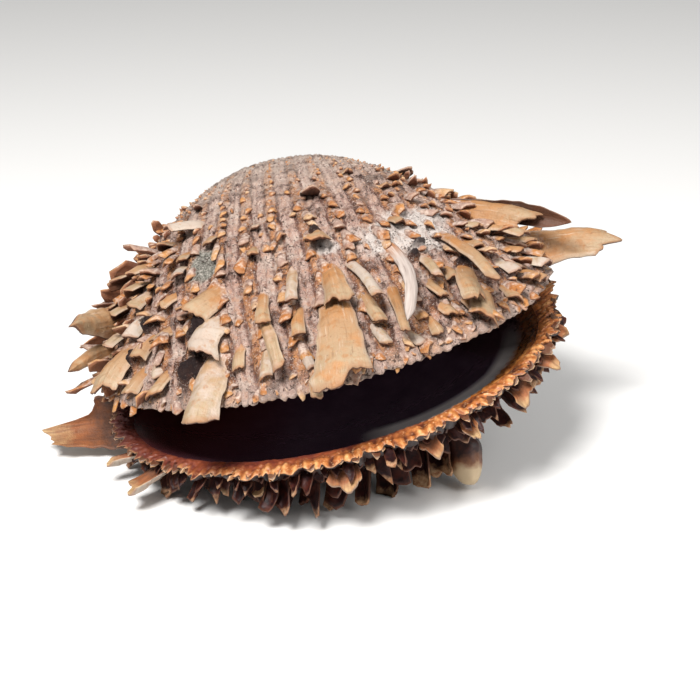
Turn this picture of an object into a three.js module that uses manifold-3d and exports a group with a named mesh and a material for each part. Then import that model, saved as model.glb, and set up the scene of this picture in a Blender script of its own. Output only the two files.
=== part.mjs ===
// Spiny oyster shell: both halves of a Spondylus, still hinged together and gaping, resting on the flat
// scar where the lower half was cemented to rock. Millimetres, +Z up, the front lips towards -Y, and the
// origin at the middle of the scar.

import * as THREE from "three";
import { mergeVertices } from "three/addons/utils/BufferGeometryUtils.js";
import Module from "manifold-3d";

const wasm = await Module();
wasm.setup();

// Driving dimensions of the shell
const VALVE_WIDTH = 95; // across the lips, left to right
const VALVE_HEIGHT = 87; // from the hinge axis to the front lip
const HINGE_SETBACK = 4; // from the hinge axis to the back of the lips
const FRONT_FULLNESS = 2.0; // power of the outline's curve at the front: 2 is an ellipse
const BACK_FULLNESS = 2.7; // and at the back, where the outline is squarer
const GAPE = THREE.MathUtils.degToRad(10.35); // how far the upper half stands open
const ROLL = THREE.MathUtils.degToRad(-14.6); // the shell lies with its right side up
const PITCH = THREE.MathUtils.degToRad(6.7); // and its front lips down
const HINGE_FROM_SCAR = new THREE.Vector3(9.7, 34.3, 27); // middle of the hinge axis

// How each half grew: the lip turned about the hinge axis while it got smaller towards the beak
const UPPER = { side: 1, coil: 0.91, narrowing: 0.74, lean: -8.8, turns: 2.2 };
const LOWER = { side: -1, coil: 1.2, narrowing: 0.85, lean: -4, turns: 2.0 };
const BEAK_ROUNDING = 0.35; // the last stretch of the turn, in radians, which closes the beak

// Ribs and the growth lines where the skin of a valve is drawn, as shares of its turns
const GROWTH_LINES = [0, 0.07, 0.15, 0.25, 0.37, 0.53, 0.75, 1];
const BEAK_LINE = 0.7; // one more, as a share of the beak's rounding
const RIBS = 36;
const RIB_SECTION = [0, 1, 1]; // furrow, then the two edges of a flat crest
const RIB_RELIEF = 1.1; // crest above furrow, at the lip
const RIB_FADE_FROM = THREE.MathUtils.degToRad(125); // the ribs fade out towards the hinge
const RIB_FADE_OVER = THREE.MathUtils.degToRad(40);

// Inside of each half
const LIP_SHARE = 0.91; // width of the hollow, as a share of the valve's
const LIP_DEPTH = 4.5; // flat of the front lip
const HINGE_PLATE = 16; // from the hinge axis to the back of the hollow, less the setback
const HOLLOW_SHARE = { upper: 0.8, lower: 0.72 }; // depth of the hollow, as a share of the valve's
const HOLLOW_SIDES = 30;
const HOLLOW_LINES = [0, 0.2, 0.45, 0.75, 1.1, Math.PI / 2]; // radians along the growth turn
const OVERCUT = 3; // how far the cutting shapes run on past the face that they open

// Hinge teeth, their sockets and the pad between the plates
const TOOTH = { x: 11, y: -11, foot: 3.2, crown: 2.0, height: 5.5, root: 1.5, sides: 8 };
const SOCKET_PLAY = 1.0;
const PAD = { width: 8, front: -13.5, back: -3.4, depth: 2.6 };
const CLEARANCE = 0.35;

const SHELL_THICKNESS = 1.3; // of a spine's wall, at its crest
const ROOT = 2.5; // how far a spine starts back inside the valve
const SPINE_SINK = 0.6; // and below the valve's face
const GROUND_BLOCK = 200;

const COLOURS = { upper: "#9a7f78", lower: "#7d4a33", pad: "#2a1c17" };

// The spines that stand out. Each has its rib and its growth line in degrees (0 is the front, + to the
// right; 0 is the lip, + towards the beak), its length, its width at the foot and at the tip, how far it
// lifts off the valve, how far it turns aside from its rib, and, for a few, its roll about its own length.
const UPPER_SPINES = [
  [12, 11, 27, 4, 10, 8, -6],
  [13, 15, 17, 3, 6, 14, -5],
  [12, 20, 8, 3, 5, 35, 0],
  [14, 30, 6, 3, 4, 45, 0],
  [-21, 14, 10, 5, 8, 20, -35],
  [-21, 10, 12, 6, 9, 15, -21],
  [-22, 5, 15, 6, 7, 14, -10],
  [-55, 7, 14, 8, 7, 20, -21],
  [-76, 12, 17, 6, 3, 34, 40],
  [-78, 6, 13, 3, 1.6, 40, 28],
  [-70, 16, 8, 2.5, 1.6, 35, 25],
  [-56, 23, 7.5, 3, 1.8, 40, 0],
  [-56, 19, 7, 3, 2, 40, 12],
  [-30, 30, 9, 3, 1.6, 40, -37],
  [-44, 27, 6, 2.5, 1.6, 40, 9],
  [-50, 16, 6, 3, 4, 30, -37],
  [-50, 12, 6.5, 3, 3, 25, -22],
  [52, 15, 27, 3, 3, 18, -10],
  [30, 18, 30, 2, 2.2, 14, -9],
  [52, 9, 18, 3.5, 5, 15, -31],
  [52, 5, 14, 4, 6, 12, -30],
  [75, 20, 25, 6, 7, 20, 22, 50],
  [95, 4, 20.5, 8, 5, 36, 40, 45],
  [74, 14, 12, 2.5, 2, 28, 8],
  [40, 12, 11, 2.2, 1.8, 25, -9],
  [38, 8, 7, 2, 2, 25, -5],
  [38, 5, 6, 2.2, 3, 20, 0],
  [19, 14, 16, 2.2, 1.8, 22, 8],
  [19, 9, 10, 2.2, 2, 20, 3],
  [27, 9, 15, 2, 1.6, 18, -8],
  [-7, 12, 9.5, 2.2, 2.5, 20, -1],
  [-8, 9, 16, 2.4, 2.6, 16, 13],
  [3, 15, 11.5, 2, 2, 20, -8],
  [2, 9, 9, 2, 2.5, 25, -6],
  [-15, 6, 6.5, 2.2, 2.6, 20, -3],
  [-8, 5, 7.5, 2.2, 2.2, 18, -4],
  [66, 40, 4, 3.5, 3.5, 40, 0],
];
const LOWER_SPINES = [
  [-80, 3, 20, 8, 7, 42, 44, -40],
  [-66, 5, 8.5, 2.5, 1.6, 70, 60],
  [-47, 5, 9, 5, 4, 65, 50],
  [-37, 3, 8, 2.5, 2, 70, 40],
  [-28, 8, 7.5, 3, 2.5, 70, 40],
  [-19, 7, 7.5, 3, 3, 70, 50],
  [-10, 8, 8, 3.5, 3, 70, 35],
  [-1, 5, 6, 5, 6, 80, 10],
  [-3, 9, 9, 3, 3, 70, 40],
  [5, 9, 10.5, 4, 3, 70, 45],
  [12, 13, 12, 4, 4, 65, 45],
  [18, 5, 6, 4, 4, 80, 0],
  [21, 12, 12.5, 4, 4, 65, 40],
  [28, 13, 13, 4, 3.5, 62, 45],
  [32, 4, 5, 5, 6, 75, 0],
  [33, 13, 16, 7, 8, 66, 42],
  [47, 10, 9, 4, 3, 60, 20],
];
const BROAD_SPINE = 5; // from this width a spine's section has a flat back
const FLAT_BACK = 0.45; // as a share of its width
const SPINE_BEND = THREE.MathUtils.degToRad(22); // a spine curves down towards its tip
const SPINE_HOLLOW = 0.3; // depth of the trough under a spine's tip, as a share of its width
const FOOT_HOLLOW = 0.1; // and under its foot

// The fringe of short scales that stand off each lip, one to a rib
const FLANK = 75; // past this rib angle the fringe is shorter
const FLANK_SHARE = 0.6; // of its length at the front
const FRINGE_UPPER = { ribs: 12, length: 3.2, width: 3.4, growth: 1.5, lift: 12 };
const FRINGE_LOWER = { ribs: 12, length: 5, width: 3.8, growth: 2.5, lift: 68 };

const degrees = THREE.MathUtils.degToRad;
const smooth = (x) => THREE.MathUtils.smoothstep(x, 0, 1);

// A number from 0 to 1 that is always the same for the same n, for the fringe's uneven lengths
function uneven(n) {
  const big = Math.sin(n * 12.9898) * 43758.5453;
  return big - Math.floor(big);
}

// A point of the lip's outline, seen from above; phi is 0 at the front and a half turn at the hinge
function outline(phi, relief = 0) {
  const backness = smooth((Math.abs(phi) - Math.PI / 2) / (Math.PI / 4));
  const power = THREE.MathUtils.lerp(FRONT_FULLNESS, BACK_FULLNESS, backness);
  const reach = (Math.abs(Math.sin(phi)) ** power + Math.abs(Math.cos(phi)) ** power) ** (-1 / power);
  const halfDepth = (VALVE_HEIGHT - HINGE_SETBACK) / 2;
  const x = (VALVE_WIDTH / 2) * reach * Math.sin(phi);
  const y = -HINGE_SETBACK - halfDepth * (1 + reach * Math.cos(phi));
  return new THREE.Vector2(x + relief * Math.sin(phi), y - relief * Math.cos(phi));
}

// A point of the lip carried along the growth turn by alpha, towards the beak
function grown(valve, lip, alpha) {
  const shrink = Math.exp(-valve.coil * alpha);
  return new THREE.Vector3(
    lip.x * Math.exp(-valve.narrowing * alpha) + valve.lean * (1 - Math.exp(-alpha)),
    lip.y * Math.cos(alpha) * shrink,
    -valve.side * lip.y * Math.sin(alpha) * shrink,
  );
}

function middleOf(points) {
  return points.reduce((sum, point) => sum.add(point), new THREE.Vector3()).divideScalar(points.length);
}

// The closed skin through a stack of rings of equal length, with a point at each end
function skin(start, rings, end) {
  const count = rings[0].length;
  const points = [start, ...rings.flat(), end];
  const at = (ring, step) => 1 + ring * count + (step % count);
  const last = rings.length - 1;
  const index = [];
  for (let step = 0; step < count; step += 1) {
    index.push(0, at(0, step + 1), at(0, step));
    index.push(points.length - 1, at(last, step), at(last, step + 1));
    for (let ring = 0; ring < last; ring += 1) {
      index.push(at(ring, step), at(ring, step + 1), at(ring + 1, step + 1));
      index.push(at(ring, step), at(ring + 1, step + 1), at(ring + 1, step));
    }
  }
  const geometry = new THREE.BufferGeometry().setFromPoints(points);
  geometry.setIndex(index);
  return geometry;
}

// Six times the signed volume inside a triangle mesh: negative where its faces point inwards
function insideness(vertices, triangles) {
  const corner = (k) => new THREE.Vector3().fromArray(vertices, 3 * triangles[k]);
  let sum = 0;
  for (let k = 0; k < triangles.length; k += 3) {
    sum += corner(k).dot(corner(k + 1).cross(corner(k + 2)));
  }
  return sum;
}

function solid(geometry) {
  const bare = geometry.clone();
  bare.deleteAttribute("normal");
  bare.deleteAttribute("uv");
  const merged = mergeVertices(bare, 1e-4);
  const vertProperties = Float32Array.from(merged.attributes.position.array);
  const triVerts = Uint32Array.from(merged.index.array);
  if (insideness(vertProperties, triVerts) < 0) {
    triVerts.reverse();
  }
  return new wasm.Manifold(new wasm.Mesh({ numProp: 3, vertProperties, triVerts }));
}

function geometryOf(manifold) {
  const { vertProperties, triVerts } = manifold.getMesh();
  const geometry = new THREE.BufferGeometry();
  geometry.setAttribute("position", new THREE.BufferAttribute(vertProperties, 3));
  geometry.setIndex(new THREE.BufferAttribute(triVerts, 1));
  geometry.computeVertexNormals();
  return geometry;
}

// The outside of a valve, ribs included, closed at the lip by a flat disc and at the beak by a dome
function valveBlank(valve) {
  const steps = RIBS * RIB_SECTION.length;
  const middle = new THREE.Vector2(0, -(VALVE_HEIGHT + HINGE_SETBACK) / 2);
  const ring = (alpha) => {
    const past = Math.max(0, alpha - valve.turns) / BEAK_ROUNDING;
    const open = Math.sqrt(1 - past * past);
    return Array.from({ length: steps }, (_, k) => {
      const phi = (k / steps) * 2 * Math.PI - Math.PI;
      const fade = 1 - smooth((Math.abs(phi) - RIB_FADE_FROM) / RIB_FADE_OVER);
      const lip = outline(phi, RIB_RELIEF * fade * RIB_SECTION[k % RIB_SECTION.length]);
      return grown(valve, lip.sub(middle).multiplyScalar(open).add(middle), alpha);
    });
  };
  const rings = GROWTH_LINES.map((share) => ring(share * valve.turns));
  rings.push(ring(valve.turns + BEAK_LINE * BEAK_ROUNDING));
  return skin(grown(valve, middle, 0), rings, grown(valve, middle, valve.turns + BEAK_ROUNDING));
}

// The hollow of a valve: its outside drawn in, which leaves a flat lip and a thick hinge plate
function hollow(valve, depthShare) {
  const deepening = (VALVE_HEIGHT - LIP_DEPTH - HINGE_PLATE) / VALVE_HEIGHT;
  const drawIn = (point, leanX) => {
    point.x = (point.x - leanX) * LIP_SHARE + leanX;
    point.y = Math.min(point.y, -HINGE_SETBACK) * deepening - HINGE_PLATE;
    point.z *= depthShare;
    return point;
  };
  const ring = (alpha) =>
    Array.from({ length: HOLLOW_SIDES }, (_, k) => {
      const phi = (k / HOLLOW_SIDES) * 2 * Math.PI - Math.PI;
      return drawIn(grown(valve, outline(phi), alpha), valve.lean * (1 - Math.exp(-alpha)));
    });
  const rings = HOLLOW_LINES.map(ring);
  const above = rings[0].map((p) => p.clone().setZ(-valve.side * OVERCUT));
  return skin(middleOf(above), [above, ...rings], middleOf(rings.at(-1)));
}

// The directions of growth, outwards and sideways at a point of a valve
function axesAt(valve, phi, alpha) {
  const small = 1e-3;
  const at = grown(valve, outline(phi), alpha);
  const forward = grown(valve, outline(phi), alpha - small).sub(at).normalize();
  const along = grown(valve, outline(phi + small), alpha).sub(at).normalize();
  const outward = new THREE.Vector3().crossVectors(along, forward).normalize();
  if (outward.z * valve.side < 0) {
    outward.negate();
  }
  const aside = new THREE.Vector3().crossVectors(outward, forward);
  return { at, forward, outward, aside };
}

// A spine: a plate with a trough under it, whose foot is sunk into the valve
function spine(valve, [rib, growth, length, footWidth, tipWidth, lift, turn, roll = 0]) {
  const { at, forward, outward, aside } = axesAt(valve, degrees(rib), degrees(growth));
  const heading = forward.clone().multiplyScalar(Math.cos(degrees(turn)));
  heading.addScaledVector(aside, Math.sin(degrees(turn)));
  const level = new THREE.Vector3().crossVectors(outward, heading);
  const broad = Math.max(footWidth, tipWidth) >= BROAD_SPINE;
  const backs = broad ? [-FLAT_BACK, FLAT_BACK] : [0];
  const segments = broad ? 3 : 2;
  const direction = (share) => {
    const tilt = degrees(lift) + SPINE_BEND * (0.5 - share);
    return heading.clone().multiplyScalar(Math.cos(tilt)).addScaledVector(outward, Math.sin(tilt));
  };
  const sectionAt = (share, point) => {
    const width = THREE.MathUtils.lerp(footWidth, tipWidth, share);
    const depth = width * THREE.MathUtils.lerp(FOOT_HOLLOW, SPINE_HOLLOW, share);
    const across = level.clone().applyAxisAngle(direction(share), degrees(roll));
    const up = new THREE.Vector3().crossVectors(direction(share), across);
    const place = (u, thickness) => {
      const height = depth * (1 - u * u) + thickness;
      return point.clone().addScaledVector(across, (u * width) / 2).addScaledVector(up, height);
    };
    const top = backs.map((u) => place(u, SHELL_THICKNESS / 2));
    const under = backs.map((u) => place(-u, -SHELL_THICKNESS / 2));
    return [place(-1, 0), ...top, place(1, 0), ...under];
  };
  const point = at.clone().addScaledVector(direction(0), -ROOT).addScaledVector(outward, -SPINE_SINK);
  const rings = [sectionAt(0, point)];
  for (let k = 1; k <= segments; k += 1) {
    point.addScaledVector(direction((k - 0.5) / segments), (length + ROOT) / segments);
    rings.push(sectionAt(k / segments, point));
  }
  return skin(middleOf(rings[0]), rings, middleOf(rings.at(-1)));
}

// One scale on each rib round the front and the sides of a lip, of uneven length
function fringe({ ribs, length, width, growth, lift }, seed) {
  return Array.from({ length: 2 * ribs }, (_, k) => {
    const rib = (k - ribs + 0.5) * (360 / RIBS);
    const flank = Math.abs(rib) > FLANK ? FLANK_SHARE : 1;
    const reach = length * flank * (0.6 + 0.8 * uneven(k + seed));
    const wide = width * (0.7 + 0.6 * uneven(k + seed + 0.5));
    return [rib, growth, reach, wide, wide * 0.8, lift, 30 * (uneven(k + seed + 0.25) - 0.5)];
  });
}

// The pad between the hinge plates, grown by the play on every side to cut the pits that it sits in
function pad(play) {
  const { width, front, back, depth } = PAD;
  const lowerEdge = (y) => new THREE.Vector2(y, -depth - play);
  const upperEdge = (y) => new THREE.Vector2(y, depth + play).rotateAround(new THREE.Vector2(), -GAPE);
  const away = play > 0 ? 2 * HINGE_SETBACK : 0; // the pits run out at the back, behind the hinge
  const profile = new THREE.Shape([
    lowerEdge(front - play),
    lowerEdge(back + away),
    upperEdge(back + away),
    upperEdge(front - play),
  ]);
  const block = new THREE.ExtrudeGeometry(profile, { depth: width + 2 * play, bevelEnabled: false });
  return block.translate(0, 0, -width / 2 - play).rotateX(Math.PI / 2).rotateZ(Math.PI / 2);
}

function hingeTooth(sideOfHinge, play) {
  const { x, y, foot, crown, height, root, sides } = TOOTH;
  const peg = new THREE.CylinderGeometry(crown + play, foot + play, height + play + root, sides);
  return peg.rotateX(Math.PI / 2).translate(sideOfHinge * x, y, (height + play - root) / 2);
}

// The shell's own frame, with the hinge along X, tilted as it lies on the ground
const tilt = new THREE.Group();
tilt.position.copy(HINGE_FROM_SCAR);
tilt.rotation.set(PITCH, ROLL, 0, "YXZ");
tilt.updateMatrix();

// The upper valve's frame, opened about the hinge
const opened = new THREE.Group();
opened.rotation.x = -GAPE;
opened.updateMatrix();
const closing = opened.matrix.clone().invert();

// A valve with its spines on and its inside hollowed out
function spiny(valve, spines, depthShare) {
  const grownOver = spines.reduce((body, row) => body.add(solid(spine(valve, row))), solid(valveBlank(valve)));
  return grownOver.subtract(solid(hollow(valve, depthShare)));
}

function upperValve() {
  let valve = spiny(UPPER, [...UPPER_SPINES, ...fringe(FRINGE_UPPER, 1)], HOLLOW_SHARE.upper);
  for (const sideOfHinge of [-1, 1]) {
    valve = valve.subtract(solid(hingeTooth(sideOfHinge, SOCKET_PLAY).applyMatrix4(closing)));
  }
  return geometryOf(valve.subtract(solid(pad(CLEARANCE).applyMatrix4(closing))));
}

function lowerValve() {
  let valve = spiny(LOWER, [...LOWER_SPINES, ...fringe(FRINGE_LOWER, 101)], HOLLOW_SHARE.lower);
  for (const sideOfHinge of [-1, 1]) {
    valve = valve.add(solid(hingeTooth(sideOfHinge, 0)));
  }
  valve = valve.subtract(solid(pad(CLEARANCE)));
  const lying = solid(geometryOf(valve).applyMatrix4(tilt.matrix));
  const rock = new THREE.BoxGeometry(GROUND_BLOCK, GROUND_BLOCK, GROUND_BLOCK);
  return geometryOf(lying.subtract(solid(rock.translate(0, 0, -GROUND_BLOCK / 2))));
}

function piece(name, geometry, color, roughness) {
  const mesh = new THREE.Mesh(geometry, new THREE.MeshStandardMaterial({ color, roughness, metalness: 0 }));
  mesh.name = name;
  return mesh;
}

const shell = new THREE.Group();
shell.add(piece("lower_valve", lowerValve(), COLOURS.lower, 0.7), tilt);
tilt.add(piece("hinge_ligament", pad(0), COLOURS.pad, 0.45), opened);
opened.add(piece("upper_valve", upperValve(), COLOURS.upper, 0.85));

export default shell;
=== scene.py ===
import itertools
import math

import bpy
import numpy as np
from mathutils import Matrix, Vector


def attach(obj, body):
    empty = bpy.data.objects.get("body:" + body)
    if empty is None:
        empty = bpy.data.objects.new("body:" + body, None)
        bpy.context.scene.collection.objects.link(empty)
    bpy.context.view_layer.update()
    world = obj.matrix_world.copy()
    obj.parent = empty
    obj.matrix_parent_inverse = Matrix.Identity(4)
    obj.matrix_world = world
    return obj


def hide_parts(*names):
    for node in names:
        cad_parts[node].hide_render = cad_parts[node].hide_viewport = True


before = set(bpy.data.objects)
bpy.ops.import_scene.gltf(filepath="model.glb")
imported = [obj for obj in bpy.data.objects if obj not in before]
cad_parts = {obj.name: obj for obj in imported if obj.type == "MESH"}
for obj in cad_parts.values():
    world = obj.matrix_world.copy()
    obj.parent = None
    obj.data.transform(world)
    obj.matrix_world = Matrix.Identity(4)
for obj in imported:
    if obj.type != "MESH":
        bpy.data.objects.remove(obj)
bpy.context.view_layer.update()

MM = 0.001

# Driving dimensions of the shell, in millimetres and degrees, the same as the solids have
VALVE_WIDTH = 95
VALVE_HEIGHT = 87
HINGE_SETBACK = 4
FRONT_FULLNESS = 2.0
BACK_FULLNESS = 2.7
GAPE = math.radians(10.35)
ROLL = math.radians(-14.6)
PITCH = math.radians(6.7)
HINGE_FROM_SCAR = Vector((9.7, 34.3, 27))

# Each half: which way it bulges, how fast its spiral coils, narrows and leans aside, how far it turns, how
# deep its hollow is by its outside, and a seed for its noise
UPPER = dict(side=1, coil=0.91, narrowing=0.74, lean=-8.8, turns=2.2, hollow=0.8, seed=3)
LOWER = dict(side=-1, coil=1.2, narrowing=0.85, lean=-4, turns=2.0, hollow=0.72, seed=7)
BEAK_ROUNDING = 0.35

# The ribs round a lip: how many, how high, and from which degree they fade towards the hinge
RIBS = 36
RIB_RELIEF = 1.1
RIB_FADE_FROM = 125
RIB_FADE_OVER = 40
# Across a rib, in shares of the spacing: two crests beside its middle, a saddle between them, fine threads
# over all of it, and a riblet halfway to the next rib
CREST_AT = 0.12
CREST_HALF_WIDTH = 0.11
CREST_SLOPE = 0.07
SADDLE_HEIGHT = 0.45
SADDLE_HALF_WIDTH = 0.2
SADDLE_SLOPE = 0.1
RIBLET_FROM = 0.27
RIBLET_SLOPE = 0.1
RIBLET_HEIGHT = 0.72
THREADS_TO_A_RIB = 7
THREAD_HEIGHT = 0.22
# How a rib wanders: the size of its bends in millimetres, how far it goes in degrees, and a seed
RIB_WANDER = ((14, 1.6, 0), (4, 1.0, 9), (1.4, 1.0, 13))

# The flat lip and the hinge plate, the points of the lower lip's edge, what stands on the rim, and the
# sockets; LIP_TEETH_FADE is in radians of growth
LIP_SHARE = 0.91
LIP_DEPTH = 4.5
HINGE_PLATE = 16
MIDDLE_Y = -(VALVE_HEIGHT + HINGE_SETBACK) / 2
LIP_TEETH_SPACING = 2.3
LIP_TEETH_DEPTH = 2.2
LIP_TEETH_FADE = 0.035
RIM_DETAIL_TO = 118
RIM_DETAIL_FADE = 14
RIM_RIDGE_SPACING = 2.5
PIMPLE = 1.2
PIMPLE_HEIGHT = 0.5
RIM_RIDGE_HEIGHT = 0.55
SIDE_PIMPLE = 1.4
SIDE_PIMPLE_HEIGHT = 0.9
SIDE_PIMPLES_FROM = 12
SIDE_PIMPLES_TO = 0.16
SOCKET_DEPTH = 5.4
SOCKET_RADIUS = 2.8
SOCKET_SLOPE = 1.6

# The crust: growth steps so far apart in radians of growth, then lumps, grit and grains of lime, with their
# sizes and heights in millimetres. It thins out towards the beak and stops short of it
UPPER_STEP = 0.062
UPPER_STEP_HEIGHT = 0.42
UPPER_LUMPS = ((4.2, 0.8, 60), (1.9, 0.8, 61))
GRIT = 0.8
GRIT_HEIGHT = 0.7
LIME_GRAIN = 1.3
LIME_HEIGHT = 1.0
LOWER_STEP = 0.07
LOWER_STEP_HEIGHT = 0.5
LOWER_LUMPS = ((1.9, 0.8, 62),)
CRUST_THINNING = 0.55
CRUST_STOPS = 0.3

# The two hinge teeth, and the horny pad with its layers
TOOTH_X = 11
TOOTH_Y = -11
TOOTH_FOOT = 3.2
TOOTH_CROWN = 2.0
TOOTH_HEIGHT = 5.5
TOOTH_SUNK = 1.5
TOOTH_ROUNDING = 0.9
PAD_WIDTH = 8
PAD_FRONT = -13.5
PAD_BACK = -3.4
PAD_DEPTH = 2.6
PAD_ROUNDING = 0.25
PAD_LAYERS = 5
PAD_LAYER_DEPTHS = (0.12, 0.2, 0)

# A spine: its wall, how far it goes back into the valve and under its skin, its bend over its length, its
# trough, and how it snakes, tears, leafs, waves and curls. Those narrower than FULL_DETAIL_WIDTH have less of
# it, and the knob's end is round from KNOB_ROUNDED_FROM of its length
SHELL_THICKNESS = 1.3
ROOT = 2.5
SPINE_SINK = 0.6
SPINE_BEND = math.radians(22)
SPINE_HOLLOW = 0.3
SPINE_SNAKING = 0.35
MOST_TORN = 0.7
LEAF_LENGTH = 2.6
LEAF_STEP = 0.14
FIBRE_DEPTH = 0.16
WAVE_LENGTH = 3.5
WAVE_HEIGHT = 0.7
CURL_SHARE = 0.22
FULL_DETAIL_WIDTH = 5
KNOB_ROUNDED_FROM = 0.6

# The step, in radians, by which directions on a valve are found
SMALL_TURN = 1e-3
# Columns are closer together at the front and rows at the lip, where the camera looks
FRONT_CROWDING = 0.38
LIP_CROWDING = 0.62
# The hollow's back closes in two more rings: how far in they are, and how deep they count for the colours
CLOSING_SHARES = (0.35, 0.7)
CLOSING_DEPTHS = (1.7, 1.8)

# Files of small scales, so many degrees apart, as many on each side of the middle, up to a growth line:
# the least length and width of a scale, the share of places that hold one, and where the flanks begin, with
# their bigger scales
FILE_SPACING = 5
SCALE_FILES = 24
SCALES_UP_TO = 68
SCALE_ROLL = 50
LEAST_ON_RIBLET = (3.4, 2.0)
LEAST_ON_RIB = (2.0, 1.3)
KEPT_ON_RIBLET = 0.95
KEPT_ON_RIB = 0.16
FLANK_FROM = 26
FLANK_OVER = 30
RIGHT_FLANK = 0.45
# Scales of the fringes, and from which degree towards the hinge they are shorter
FRINGE_SPACING = 2.5
FRINGE_FILES = 50
FRINGE_BACK = 85

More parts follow.
